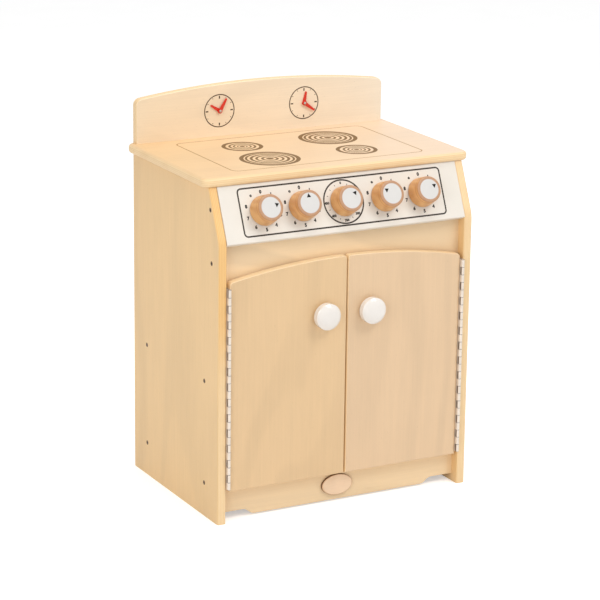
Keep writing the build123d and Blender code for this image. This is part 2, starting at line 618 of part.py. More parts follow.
# ------------------------------------------------------------------ dials
with BuildPart() as turned_dial:
    with BuildSketch(Plane.XZ):
        Polygon(
            (0, 0),
            (DIAL_BASE_RADIUS, 0),
            (DIAL_TOP_RADIUS, DIAL_HEIGHT),
            (0, DIAL_HEIGHT),
            align=None,
        )
    revolve(axis=Axis.Z)
    fillet(turned_dial.edges().group_by(Axis.Z)[-1], DIAL_ROUND)
    fillet(turned_dial.edges().group_by(Axis.Z)[0], EDGE_EASE)
    with Locations((0, 0, DIAL_HEIGHT)):
        Hole(DIAL_FACE_RADIUS + DIAL_FACE_CLEARANCE, depth=DIAL_FACE_THICKNESS)
    with Locations(Plane.XY.rotated((180, 0, 0))):
        pilot(DIAL_SCREW_RADIUS, DIAL_SCREW_GRIP)

with BuildPart() as dial_face:
    with BuildSketch():
        Circle(DIAL_FACE_RADIUS)
    extrude(amount=DIAL_FACE_THICKNESS)

dial_screw = pan_head_screw(
    DIAL_SCREW_RADIUS,
    DIAL_FLANGE_GAP + PANEL_THICKNESS + DIAL_GAP + DIAL_SCREW_GRIP,
    DIAL_FLANGE_RADIUS,
    DIAL_FLANGE_THICKNESS,
)

for number, x in enumerate(dial_xs, start=1):
    keep(placed(turned_dial.part, dial_plane(x, DIAL_GAP)), f"dial_{number}")
    face_height = DIAL_GAP + DIAL_HEIGHT - DIAL_FACE_THICKNESS
    keep(placed(dial_face.part, dial_plane(x, face_height)), f"dial_face_{number}")
    keep(placed(dial_screw, dial_plane(x, -PANEL_THICKNESS - DIAL_FLANGE_GAP)), f"dial_screw_{number}")

# ------------------------------------------------------------------ doors
knob_centre = (-DOOR_KNOB_FROM_MIDDLE, FRONT, DOOR_KNOB_HEIGHT_UP)
knob_screw_centre = (-DOOR_KNOB_FROM_MIDDLE, DOOR_BACK, DOOR_KNOB_HEIGHT_UP)


with BuildPart() as door:
    with BuildSketch(Plane.XZ.offset(-DOOR_BACK)) as door_outline:
        with Locations((0, DOOR_APEX - DOOR_ARCH_RADIUS)):
            Circle(DOOR_ARCH_RADIUS)
        with Locations((-(DOOR_EDGE + DOOR_MEETING_GAP / 2) / 2, (DOOR_BOTTOM + DOOR_APEX) / 2)):
            door_width = DOOR_EDGE - DOOR_MEETING_GAP / 2
            Rectangle(door_width, DOOR_APEX - DOOR_BOTTOM, mode=Mode.INTERSECT)
        fillet(door_outline.vertices().group_by(Axis.Y)[1], DOOR_OUTER_CORNER)
        fillet(door_outline.vertices().sort_by(Axis.Y)[-1], DOOR_MEETING_CORNER)
    extrude(amount=DOOR_THICKNESS)
    fillet(door.faces().filter_by(Axis.Y).edges(), DOOR_EASE)
    with Locations(*facing((0, -1, 0), [knob_centre])):
        Hole(DOOR_KNOB_SCREW_RADIUS + SCREW_CLEARANCE)
    with Locations(*facing((-1, 0, 0), [(-DOOR_EDGE, HINGE_SCREW_Y, z) for z in hinge_zs])):
        pilot(HINGE_SCREW_RADIUS, HINGE_SCREW_LENGTH - LEAF_THICKNESS)
    with Locations(*facing((0, 1, 0), [(x, DOOR_BACK, catch_z) for x in strike_screw_xs])):
        pilot(STRIKE_SCREW_RADIUS, STRIKE_SCREW_LENGTH - STRIKE_THICKNESS)
keep_pair(door.part, "door")

with BuildPart() as turned_knob:
    with BuildSketch(Plane.XZ) as knob_profile:
        with BuildLine():
            Polyline(
                (0, DOOR_KNOB_HEIGHT),
                (0, 0),
                (DOOR_KNOB_NECK_RADIUS, 0),
                (DOOR_KNOB_RADIUS, DOOR_KNOB_NECK_HEIGHT),
                (DOOR_KNOB_RADIUS, DOOR_KNOB_RIM_HEIGHT),
            )
            Spline(
                (DOOR_KNOB_RADIUS, DOOR_KNOB_RIM_HEIGHT),
                (0, DOOR_KNOB_HEIGHT),
                tangents=((-1, 1), (-1, 0)),
            )
        make_face()
        rim_corners = knob_profile.vertices().group_by(Axis.X)[-1].sort_by(Axis.Y)
        fillet(rim_corners[0], DOOR_KNOB_WAIST_ROUND)
        fillet(rim_corners[1], DOOR_KNOB_RIM_ROUND)
    revolve(axis=Axis.Z)
    with Locations(Plane.XY.rotated((180, 0, 0))):
        pilot(DOOR_KNOB_SCREW_RADIUS, DOOR_KNOB_SCREW_GRIP)
keep_pair(placed(turned_knob.part, *facing((0, -1, 0), [knob_centre])), "door_knob")

knob_screw = pan_head_screw(DOOR_KNOB_SCREW_RADIUS, DOOR_THICKNESS + DOOR_KNOB_SCREW_GRIP)
keep_pair(placed(knob_screw, *facing((0, -1, 0), [knob_screw_centre])), "door_knob_screw")

# ------------------------------------------------------------------ piano hinges
def knuckle_row(first, bore, finger_near, finger_far):
    """Every second knuckle of the left hinge, with the fingers that join them to their leaf."""
    with BuildPart() as knuckles:
        knuckle_zs = [HINGE_BOTTOM + KNUCKLE_PITCH * index for index in range(first, KNUCKLE_COUNT, 2)]
        with BuildSketch(*[Plane.XY.offset(z + KNUCKLE_GAP / 2) for z in knuckle_zs]):
            with Locations((-HINGE_X, HINGE_Y)):
                Circle(KNUCKLE_RADIUS)
            with Locations(((finger_near + finger_far) / 2, (HINGE_Y + FRONT) / 2)):
                Rectangle(abs(finger_far - finger_near), FRONT - HINGE_Y)
            with Locations((-HINGE_X, HINGE_Y)):
                Circle(bore, mode=Mode.SUBTRACT)
        extrude(amount=KNUCKLE_PITCH - KNUCKLE_GAP)
    return knuckles.part


def hinge_leaf(first, bore, fixed_face, open_face, outward):
    """One leaf: a strip with countersunk holes on its open face, and its row of knuckles."""
    with BuildPart() as leaf:
        low, high = sorted((fixed_face, open_face))
        add(board(low, high, FRONT, FRONT + LEAF_DEPTH, HINGE_BOTTOM, HINGE_BOTTOM + HINGE_LENGTH))
        add(knuckle_row(first, bore, fixed_face, open_face))
        with Locations(*facing((outward, 0, 0), [(open_face, HINGE_SCREW_Y, z) for z in hinge_zs])):
            countersink(HINGE_SCREW_RADIUS, HINGE_SCREW_HEAD_RADIUS)
    return leaf.part


frame_leaf_face = -INNER + LEAF_THICKNESS
door_leaf_face = -DOOR_EDGE - LEAF_THICKNESS
keep_pair(hinge_leaf(0, PIN_RADIUS + PIN_GRIP_CLEARANCE, -INNER, frame_leaf_face, 1), "hinge_frame_leaf")
keep_pair(hinge_leaf(1, PIN_RADIUS + PIN_CLEARANCE, -DOOR_EDGE, door_leaf_face, -1), "hinge_door_leaf")

with BuildPart() as hinge_pin:
    with BuildSketch(Plane.XY.offset(HINGE_BOTTOM)):
        with Locations((-HINGE_X, HINGE_Y)):
            Circle(PIN_RADIUS)
    extrude(amount=HINGE_LENGTH)
keep_pair(hinge_pin.part, "hinge_pin")

hinge_screw = countersunk_screw(HINGE_SCREW_RADIUS, HINGE_SCREW_HEAD_RADIUS, HINGE_SCREW_LENGTH)
frame_screw_places = [(frame_leaf_face, HINGE_SCREW_Y, z) for z in hinge_zs]
left_frame_screws = placed(hinge_screw, *facing((1, 0, 0), frame_screw_places))
with BuildPart() as hinge_frame_screws:
    add(left_frame_screws)
    mirror(left_frame_screws, about=Plane.YZ)
keep(hinge_frame_screws.part, "hinge_frame_screws")
door_screw_places = [(door_leaf_face, HINGE_SCREW_Y, z) for z in hinge_zs]
left_door_screws = placed(hinge_screw, *facing((-1, 0, 0), door_screw_places))
keep_pair(left_door_screws, "hinge_door_screws")

# ------------------------------------------------------------------ magnetic catches
def magnet_block(clearance):
    """The magnet in the left catch, or the pocket for it."""
    return board(
        -CATCH_FROM_MIDDLE - MAGNET_WIDTH / 2 - clearance,
        -CATCH_FROM_MIDDLE + MAGNET_WIDTH / 2 + clearance,
        CATCH_FRONT,
        CATCH_FRONT + MAGNET_DEPTH,
        catch_z - MAGNET_HEIGHT / 2 - clearance,
        catch_z + MAGNET_HEIGHT / 2 + clearance,
    )


with BuildPart() as catch:
    with BuildSketch(Plane.XY.offset(CATCH_TOP - CATCH_HEIGHT)):
        with Locations((-CATCH_FROM_MIDDLE, CATCH_FRONT + CATCH_DEPTH / 2)):
            RectangleRounded(CATCH_WIDTH, CATCH_DEPTH, EDGE_EASE)
    extrude(amount=CATCH_HEIGHT)
    add(magnet_block(MAGNET_CLEARANCE), mode=Mode.SUBTRACT)
    catch_bottoms = [(x, CATCH_SCREW_Y, CATCH_TOP - CATCH_HEIGHT) for x in catch_screw_xs]
    with Locations(*facing((0, 0, -1), catch_bottoms)):
        countersink(CATCH_SCREW_RADIUS, CATCH_SCREW_HEAD_RADIUS)
keep_pair(catch.part, "catch")

with BuildPart() as catch_magnets:
    add(magnet_block(0))
    mirror(magnet_block(0), about=Plane.YZ)
keep(catch_magnets.part, "catch_magnets")

catch_screw = countersunk_screw(CATCH_SCREW_RADIUS, CATCH_SCREW_HEAD_RADIUS, CATCH_SCREW_LENGTH)
left_catch_screws = placed(catch_screw, *facing((0, 0, -1), catch_bottoms))
with BuildPart() as catch_screws:
    add(left_catch_screws)
    mirror(left_catch_screws, about=Plane.YZ)
keep(catch_screws.part, "catch_screws")

with BuildPart() as strike:
    with BuildSketch(Plane.XZ.offset(-DOOR_BACK - STRIKE_THICKNESS)):
        with Locations((-CATCH_FROM_MIDDLE, catch_z)):
            RectangleRounded(STRIKE_WIDTH, STRIKE_HEIGHT, EDGE_EASE)
    extrude(amount=STRIKE_THICKNESS)
    strike_face = [(x, DOOR_BACK + STRIKE_THICKNESS, catch_z) for x in strike_screw_xs]
    with Locations(*facing((0, 1, 0), strike_face)):
        countersink(STRIKE_SCREW_RADIUS, STRIKE_SCREW_HEAD_RADIUS)
keep_pair(strike.part, "strike")

strike_screw = countersunk_screw(STRIKE_SCREW_RADIUS, STRIKE_SCREW_HEAD_RADIUS, STRIKE_SCREW_LENGTH)
keep_pair(placed(strike_screw, *facing((0, 1, 0), strike_face)), "strike_screws")
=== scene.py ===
# %% [markdown]
# # A toy oven for the play kitchen
# The oven is a joiner's piece: birch plywood boards, a slanted control panel, two
# arched doors on long piano hinges, turned dials and two clocks with red hands.
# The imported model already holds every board, leaf and screw in its place, so this
# lesson only dresses them. It loads the model first, because each finish and each
# printed line is measured from the pieces that it lies on.

# %% Load the frame
import json
import math

import bmesh
import bpy
import numpy as np
from mathutils import Matrix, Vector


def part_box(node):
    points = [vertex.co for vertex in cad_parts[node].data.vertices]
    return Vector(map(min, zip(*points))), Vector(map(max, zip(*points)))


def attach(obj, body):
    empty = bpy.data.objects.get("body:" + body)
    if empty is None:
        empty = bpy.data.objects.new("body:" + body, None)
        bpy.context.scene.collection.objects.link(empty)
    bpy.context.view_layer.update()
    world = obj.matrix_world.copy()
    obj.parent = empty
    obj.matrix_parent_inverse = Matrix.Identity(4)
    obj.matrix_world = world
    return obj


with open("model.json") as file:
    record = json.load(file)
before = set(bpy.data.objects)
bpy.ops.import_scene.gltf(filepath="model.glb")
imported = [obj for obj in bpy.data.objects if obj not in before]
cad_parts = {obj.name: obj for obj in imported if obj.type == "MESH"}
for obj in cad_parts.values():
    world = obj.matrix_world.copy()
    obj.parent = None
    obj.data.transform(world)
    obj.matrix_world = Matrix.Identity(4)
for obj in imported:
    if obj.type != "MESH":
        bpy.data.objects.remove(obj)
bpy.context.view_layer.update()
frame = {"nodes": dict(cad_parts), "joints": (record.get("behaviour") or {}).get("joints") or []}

MM = 0.001
nodes = frame["nodes"]
joints = {joint["name"]: joint for joint in frame["joints"]}

# %% [markdown]
# ## The camera
# A long lens from a little above and to the left of the front gives the calm view of
# a shop picture. Its place is worked out from an aim point, two angles and a
# distance, so each number has a meaning: the azimuth turns round the oven, the
# elevation looks down on it, and the small roll tilts the picture.

# %% Camera
AZIMUTH, ELEVATION, ROLL = (math.radians(a) for a in (-28.1987, 15.9859, 0.7399))
DISTANCE = 4413.188 * MM
AIM = np.array([34.735, 75.676, 290.101]) * MM
SENSOR, LENS = 36.0, 153.7303                      # both in millimetres, as Blender takes them


def unit(vector):
    """The vector divided by its length."""
    vector = np.asarray(vector, float)
    return vector / np.linalg.norm(vector)


backward = np.array([
    math.sin(AZIMUTH) * math.cos(ELEVATION),
    -math.cos(AZIMUTH) * math.cos(ELEVATION),
    math.sin(ELEVATION),
])
level = unit(np.cross([0, 0, 1], backward))
upright = np.cross(backward, level)
right = level * math.cos(ROLL) + upright * math.sin(ROLL)
up = upright * math.cos(ROLL) - level * math.sin(ROLL)

camera_data = bpy.data.cameras.new("shop_camera")
camera_data.sensor_width = SENSOR
camera_data.lens = LENS
camera_data.clip_end = 100
camera = bpy.data.objects.new("shop_camera", camera_data)
bpy.context.scene.collection.objects.link(camera)
turned = np.eye(4)
turned[:3, 0], turned[:3, 1], turned[:3, 2] = right, up, backward
turned[:3, 3] = AIM + backward * DISTANCE
camera.matrix_world = Matrix(turned.tolist())
bpy.context.scene.camera = camera
bpy.context.scene.view_settings.view_transform = "Standard"
print("camera at", [round(float(v), 3) for v in turned[:3, 3]])

# %% [markdown]
# ## Sums in a material
# A material is a web of nodes, and sums made of Math nodes are hard to read. So a
# small class wraps a node's output: adding or multiplying two of them adds the Math
# node behind the scenes. Everything else goes through one method, node(), which sets
# a node's choices first and then fills or links its sockets.


# %% The wire class and the finish class
class Wire:
    """One node output that takes part in sums as a number does, also as 1 - wire."""

    def __init__(self, finish, socket):
        self.finish, self.socket = finish, socket

    def __add__(self, other):
        return self.finish.sums("ADD", self, other)

    def __sub__(self, other):
        return self.finish.sums("SUBTRACT", self, other)

    def __rsub__(self, other):
        return self.finish.sums("SUBTRACT", other, self)

    def __mul__(self, other):
        return self.finish.sums("MULTIPLY", self, other)

    def __truediv__(self, other):
        return self.finish.sums("DIVIDE", self, other)


class Finish:
    """A material under construction, or a world if one is given."""

    def __init__(self, name, world=None):
        self.material = world or bpy.data.materials.new(name)
        self.material.use_nodes = True
        self.tree = self.material.node_tree
        self.tree.nodes.clear()

    def node(self, kind, settings=None, values=None, output=0):
        """Adds a node: its settings, then the values or links of its sockets."""
        made = self.tree.nodes.new(kind)
        for key, value in (settings or {}).items():
            setattr(made, key, value)
        for key, value in (values or {}).items():
            if isinstance(value, Wire):
                self.tree.links.new(value.socket, made.inputs[key])
            else:
                made.inputs[key].default_value = value
        return Wire(self, made.outputs[output])

    def sums(self, operation, *terms):
        """One Math node."""
        return self.node("ShaderNodeMath", {"operation": operation}, dict(enumerate(terms)))

    def axes(self, output):
        """The x, y and z of a Texture Coordinate output, as three wires."""
        vector = self.node("ShaderNodeTexCoord", output=output)
        split = self.node("ShaderNodeSeparateXYZ", values={0: vector})
        return [Wire(self, split.socket.node.outputs[axis]) for axis in range(3)]

    def noise(self, x, y, z, detail=2.0, roughness=0.5):
        """Soft noise of about one blob per unit of x, y and z, from 0 to 1.

        So x * 60 gives blobs of a sixtieth of a metre.
        """
        point = self.node("ShaderNodeCombineXYZ", values={0: x, 1: y, 2: z})
        values = {"Vector": point, "Scale": 1.0, "Detail": detail, "Roughness": roughness}
        return self.node("ShaderNodeTexNoise", {"noise_dimensions": "3D"}, values)

    def ramp(self, wire, low, high):
        """0 below low, 1 above high, and a smooth step between."""
        settings = {"interpolation_type": "SMOOTHSTEP"}
        return self.node("ShaderNodeMapRange", settings, {0: wire, 1: low, 2: high})

    def mix(self, share, first, second):
        """The first colour where share is 0 and the second where it is 1."""
        settings = {"data_type": "RGBA", "blend_type": "MIX"}
        return self.node("ShaderNodeMix", settings, {0: share, 6: first, 7: second}, 2)

    def bump(self, height, strength, depth=0.2 * MM):
        """Tilts the surface as if a height of 1 stood this depth proud of a height of 0."""
        values = {"Strength": strength, "Distance": depth, "Height": height}
        return self.node("ShaderNodeBump", values=values)

    def dot(self, axis, wires):
        """The dot product of an axis and three wires: how far they reach along it."""
        return wires[0] * axis[0] + wires[1] * axis[1] + wires[2] * axis[2]

    def surface(self, **sockets):
        """Ends the web in a Principled shader with these sockets, and returns the material."""
        shown = {key.replace("_", " ").title(): value for key, value in sockets.items()}
        shown = {key.replace("Ior", "IOR"): value for key, value in shown.items()}
        shader = self.node("ShaderNodeBsdfPrincipled", values=shown)
        self.node_end(shader)
        return self.material

    def node_end(self, shader, kind="ShaderNodeOutputMaterial"):
        """Links a shader to the output of the material, or of the world."""
        end = self.tree.nodes.new(kind)
        self.tree.links.new(shader.socket, end.inputs["Surface"])


def paint(red, green, blue):
    """A colour written as on a paint card, 0 to 255, as the linear light it stands for."""
    share = np.array([red, green, blue]) / 255
    linear = np.where(share <= 0.04045, share / 12.92, ((share + 0.055) / 1.055) ** 2.4)
    return (*(float(v) for v in linear), 1.0)


print("a mid grey of 188 is", round(paint(188, 188, 188)[0], 3), "of white in linear light")

# %% [markdown]
# ## The studio
# The oven stands in a white tent, so light comes from everywhere. A large soft key
# lamp from the front right gives the shadows their side, a fill lamp from the left
# lifts the side board, and a top lamp lights the worktop. The floor is plain and
# pale. A camera ray sees it brighter than it lights the boards, so it meets the white
# background without a line and still keeps the oven's soft shadow.

# %% Floor, tent and lamps
WHITE = (1.0, 1.0, 1.0, 1.0)
FLOOR_HALF, FLOOR_LINES = 14.0, 5
TENT_STRENGTH = 0.56
FLOOR_GLOW = 0.44


def seen_directly(finish):
    """1 for rays that show the background: camera, glossy and transmission rays."""
    rays = finish.node("ShaderNodeLightPath").socket.node.outputs
    direct = Wire(finish, rays["Is Camera Ray"]) + Wire(finish, rays["Is Glossy Ray"])
    direct = direct + Wire(finish, rays["Is Transmission Ray"])
    return finish.sums("MINIMUM", direct, 1.0)


def floor_finish():
    """A pale matt floor that glows a little for the rays that show the background."""
    finish = Finish("studio_floor")
    x, y, z = finish.axes("Object")
    tooth = finish.noise(x * 9, y * 9, z, detail=3)
    pale = finish.mix(tooth, paint(240, 240, 240), paint(246, 246, 246))
    matt = finish.node("ShaderNodeBsdfDiffuse", values={"Color": pale})
    glow = finish.node("ShaderNodeEmission", values={"Color": WHITE, "Strength": FLOOR_GLOW})
    both = finish.node("ShaderNodeAddShader", values={0: matt, 1: glow})
    shown = finish.node("ShaderNodeMixShader", values={0: seen_directly(finish), 1: matt, 2: both})
    finish.node_end(shown)
    return finish.material


floor_mesh = bpy.data.meshes.new("studio_floor")
floor_side = np.linspace(-FLOOR_HALF, FLOOR_HALF, FLOOR_LINES)
floor_x, floor_y = np.meshgrid(floor_side, floor_side)
floor_points = np.stack([floor_x, floor_y, np.zeros_like(floor_x)], -1).reshape(-1, 3)
corner = np.arange(floor_x.size).reshape(floor_x.shape)
floor_quads = np.stack([corner[:-1, :-1], corner[:-1, 1:], corner[1:, 1:], corner[1:, :-1]], -1)
floor_mesh.from_pydata(floor_points.tolist(), [], floor_quads.reshape(-1, 4).tolist())
floor = bpy.data.objects.new("studio_floor", floor_mesh)
bpy.context.scene.collection.objects.link(floor)
floor_mesh.materials.append(floor_finish())

world = bpy.data.worlds.new("white_tent")
bpy.context.scene.world = world
tent = Finish("white_tent", world)
soft = tent.node("ShaderNodeBackground", values={"Color": WHITE, "Strength": TENT_STRENGTH})
plain = tent.node("ShaderNodeBackground", values={"Color": WHITE, "Strength": 1.0})
sky = tent.node("ShaderNodeMixShader", values={0: seen_directly(tent), 1: soft, 2: plain})
tent.node_end(sky, "ShaderNodeOutputWorld")


def softbox(name, place, aim, size, watts):
    """A square soft lamp at place that shines towards aim."""
    data = bpy.data.lights.new(name, "AREA")
    data.size, data.energy = size, watts
    lamp = bpy.data.objects.new(name, data)
    bpy.context.scene.collection.objects.link(lamp)
    away = unit(np.subtract(place, aim))
    across = unit(np.cross([0, 0, 1], away))
    pose = np.eye(4)
    pose[:3, 0], pose[:3, 1], pose[:3, 2], pose[:3, 3] = across, np.cross(away, across), away, place
    lamp.matrix_world = Matrix(pose.tolist())


LAMPS = [
    # name, place, aim and size in metres, watts
    ("key_lamp", (1.3, -2.2, 3.3), (0, 0, 0.35), 1.5, 50),
    ("fill_lamp", (-3.0, -2.0, 1.6), (0, 0, 0.3), 2.0, 30),
    ("top_lamp", (-0.2, -0.1, 2.9), (0, 0.05, 0.5), 1.8, 20),
]
for lamp in LAMPS:
    softbox(*lamp)
print("tent strength", TENT_STRENGTH, "and", len(LAMPS), "lamps over a floor", 2 * FLOOR_HALF, "m wide")

# %% [markdown]
# ## Birch plywood
# Nearly every board is birch ply under a clear satin lacquer. Its face veneer is
# peeled off a turning log, so broad wavy contours wander over a close, pale grain
# with tiny brown flecks, all of it faint. The lacquered edges are golden, and the
# plies show in them as thin lines: pale where the fibres run along the edge and
# browner where they end in it. Edges near the floor are painted paler, as painted
# light. The noise is stretched along the fibres, and the piece's own normal tells a
# face from an edge, so the pattern stays put when a door swings. No two sheets are
# alike, so each board has its own tone and shift. The tones also hold painted light:
# the boards and edges that more light falls on are painted paler, and the tone of two
# boards drifts paler to their right end, as painted light from the right.

# %% Birch ply finish
X, Y, Z = 0, 1, 2
PLY = 1.45 * MM
EDGE_FUZZ = (214, 168, 110)
GOLDEN = ((246, 201, 134), (238, 188, 118))        # pale plies and brown plies of an edge
CREAM = ((248, 219, 174), (241, 207, 156))
# The doors' edges are painted paler still: a painted highlight where light catches their arrises.
LIT_DOOR_EDGES = ((252, 228, 188), (247, 217, 172))
FADE_LOW, FADE_HIGH = 220 * MM, 370 * MM           # an edge is painted cream below, as painted light, and its own tone above
FACE_ON, EDGE_ON = 0.88, 0.58                      # the normal's share along the plies' stack
PALER, BROWNER, FLECKED = 1.035, 0.955, 0.80       # shares of a board's tone
CONTOUR_TURN = 62                                  # radians over the drift's range: ten contours
FIBRE_SHARE, SILK_SHARE, CLOUD_SHARE = 0.55, 0.32, 0.6     # how much each pattern shows
FLECK_SHARE, FUZZ_SHARE, STAIN_SHARE = 0.35, 0.16, 0.25


def tinted(colour, share):
    """A paint-card colour made lighter (share above 1) or darker, as linear light."""
    return paint(*(min(255, part * share) for part in colour))


def birch_ply(name, board, fibre, face, shift, tone, edges, figure, lit_right_tone):
    """Lacquered birch ply: fibres along one axis, plies stacked along another, wavy contours.

    The tone drifts to the lit right-end tone, if any, at the board's right end: painted light from the
    right.
    """
    finish = Finish(name)
    place = finish.axes("Object")
    across, along, depth = place[3 - fibre - face], place[fibre], place[face]
    start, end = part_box(board)

    drift = finish.noise(across * 3.1 + shift, depth * 3.1, along * 0.8 + shift, detail=1.5)
    contour = finish.sums("SINE", drift * CONTOUR_TURN) * 0.5 + 0.5
    contour = finish.ramp(contour, 0.55, 1.0)
    fibres = finish.noise(across * 420 + shift, depth * 420, along * 9, detail=3, roughness=0.6)
    silk = finish.noise(across * 60, depth * 60, along * 14 + shift, detail=2)
    cloud = finish.noise(across * 5 + shift, depth * 5, along * 3.2, detail=2)
    shade = (fibres - 0.5) * FIBRE_SHARE + contour * figure
    shade = shade + (silk - 0.5) * SILK_SHARE + (cloud - 0.5) * CLOUD_SHARE
    # Painted light from the right: the tone turns paler towards the board's right end.
    lit_right_tone = lit_right_tone or tone
    share = (place[X] - start[X]) / (end[X] - start[X])
    pale = finish.mix(share, tinted(tone, PALER), tinted(lit_right_tone, PALER))
    brown = finish.mix(share, tinted(tone, BROWNER), tinted(lit_right_tone, BROWNER))
    veneer = finish.mix(shade + 0.45, pale, brown)
    fleck = finish.noise(across * 1100, depth * 1100, along * 120 + shift, detail=1)
    flecks = finish.ramp(fleck, 0.70, 0.80) * FLECK_SHARE
    veneer = finish.mix(flecks, veneer, tinted(tone, FLECKED))

    thickness = end[face] - start[face]
    plies = max(3, round(thickness / PLY))
    plies += 1 - plies % 2
    layer = finish.sums("FRACT", (depth - start[face]) * (plies / 2 / thickness))
    wander = finish.noise(across * 60, depth * 20, along * 60, detail=2)
    cross_ply = finish.ramp(layer + wander * 0.14, 0.50, 0.66)
    sawn = finish.mix(cross_ply, paint(*edges[0]), paint(*edges[1]))
    # Painted light: below FADE_HIGH an edge turns to cream, paler towards the floor.
    lit_low_edge = finish.mix(cross_ply, paint(*CREAM[0]), paint(*CREAM[1]))
    sawn = finish.mix(finish.ramp(place[Z], FADE_LOW, FADE_HIGH), lit_low_edge, sawn)
    fuzz = finish.noise(across * 700, depth * 1500, along * 700, detail=2)
    stain_and_shade = finish.noise(across * 25, depth * 25, along * 4 + shift, detail=2)
    worn = fuzz * FUZZ_SHARE + finish.ramp(stain_and_shade, 0.45, 0.8) * STAIN_SHARE
    sawn = finish.mix(worn, sawn, paint(*EDGE_FUZZ))
    normal = finish.axes("Normal")[face]
    edge = 1 - finish.ramp(finish.sums("ABSOLUTE", normal), EDGE_ON, FACE_ON)
    colour = finish.mix(edge, veneer, sawn)

    rough = fibres * 0.10 + edge * 0.10 + 0.34
    relief = fibres * (1 - edge) + (fuzz + cross_ply) * edge - flecks
    bump = finish.bump(relief, 0.12, 0.25 * MM)
    return finish.surface(base_color=colour, roughness=rough, normal=bump)


def dress(material, *names):
    """Gives CAD nodes their material."""
    for name in names:
        for slot in nodes[name].material_slots:
            slot.material = material


FAINT, MILD, STRONG = 0.12, 0.26, 0.8              # how far the contours show
SIDE, SHELF = (237, 199, 143), (230, 196, 148)
# Each board's tone is partly its own sheet and partly painted light: the sides, backsplash, apron and
# fascia are painted paler than the doors where more light falls on them, and the right side's edges are
# painted cream where the left's are golden, as painted light from the right.
BOARDS = [
    # board, fibres along, faces towards, shift, tone, edges, figure, tone lit at the right end
    ("side_panel_left", Z, X, 3.1, SIDE, GOLDEN, MILD, None),
    ("side_panel_right", Z, X, 8.7, SIDE, CREAM, MILD, None),
    ("worktop", X, Z, 1.3, (234, 197, 148), CREAM, FAINT, (236, 208, 178)),
    ("backsplash", X, Y, 5.9, (240, 218, 186), CREAM, MILD, (246, 229, 205)),
    ("back_panel", Z, Y, 12.4, (222, 188, 140), CREAM, MILD, None),
    ("shelf_middle", X, Z, 15.2, SHELF, CREAM, MILD, None),
    ("shelf_bottom", X, Z, 18.8, SHELF, CREAM, MILD, None),
    ("apron", X, Y, 21.5, (243, 214, 172), CREAM, MILD, None),
    ("door_left", Z, Y, 27.3, (227, 193, 148), LIT_DOOR_EDGES, MILD, None),
    ("door_right", Z, Y, 33.9, (227, 195, 157), LIT_DOOR_EDGES, MILD, None),
    ("fascia_rail", X, Y, 24.6, (246, 216, 174), CREAM, STRONG, None),
]
for board, *choices in BOARDS:
    dress(birch_ply("birch_" + board, board, *choices), board)
print(len(BOARDS), "boards veneered")

# %% [markdown]
# ## The plaque
# The blank oval plaque is cut from thin birch by a laser, which toasts its edge dark
# brown and leaves a faint brown breath on the face beside the cut. How near a point
# lies to the outline is read from the ellipse's own equation.


# %% Plaque finish
def toasted_birch(board, face_tone, toast, tan):
    """Birch with a toasted edge; the breath grows with (x/a)^2 + (z/b)^2 towards 1."""
    finish = Finish("toasted_" + board)
    place, normal = finish.axes("Object"), finish.axes("Normal")
    low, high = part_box(board)
    half_x, half_z = (high[X] - low[X]) / 2, (high[Z] - low[Z]) / 2
    from_x = (place[X] - (low[X] + half_x)) / half_x
    from_z = (place[Z] - (low[Z] + half_z)) / half_z
    reach = from_x * from_x + from_z * from_z
    fibres = finish.noise(place[X] * 40, place[Y] * 600, place[Z] * 600, detail=3, roughness=0.6)
    cloud = finish.noise(place[X] * 60, place[Y] * 60, place[Z] * 60, detail=2)
    wood = finish.mix(fibres * 0.5 + cloud * 0.5, tinted(face_tone, 1.03), tinted(face_tone, 0.92))
    breath = finish.ramp(reach + cloud * 0.10, 0.84, 1.06)
    wood = finish.mix(breath * 0.7, wood, paint(*tan))
    edge = 1 - finish.ramp(finish.sums("ABSOLUTE", normal[Y]), 0.50, 0.85)
    colour = finish.mix(edge, wood, finish.mix(fibres, paint(*toast), tinted(toast, 0.75)))
    bump = finish.bump(fibres, 0.15)
    return finish.surface(base_color=colour, roughness=fibres * 0.1 + 0.45, normal=bump)


dress(toasted_birch("plaque", (246, 214, 180), (120, 78, 40), (190, 138, 86)), "plaque")

# %% [markdown]
# ## Solid wood
# The dials are turned from a warm orange maple, and the cleats under the worktop are
# planed pine. Solid wood has no plies: growth rings run through it. On a dial the
# lathe tool leaves fine bands, two rings round the barrel are darker, and the flat
# rim round the disc is the end of the fibres, so it looks browner and pinker. All are
# read from the dial's own axis, which the joint gives.


# %% Solid wood finish
def mesh_points(mesh):
    """All points of a mesh, one row each."""
    points = np.empty(len(mesh.vertices) * 3)
    mesh.vertices.foreach_get("co", points)
    return points.reshape(-1, 3)


def measured(name, origin, direction):
    """The furthest reach of a node's points from an origin along a direction."""
    return float(((mesh_points(nodes[name].data) - origin) @ np.asarray(direction)).max())


DARK_RING_WIDTH, DARK_RING_DEPTHS = 0.9 * MM, (1.6 * MM, 6.5 * MM)   # depths behind a dial's front
GROWTH_SHARE, BAND_SHARE, FINE_SHARE, DARK_RING_SHARE = 0.35, 0.6, 0.3, 0.9
RIM_BROWN = (186, 142, 110)


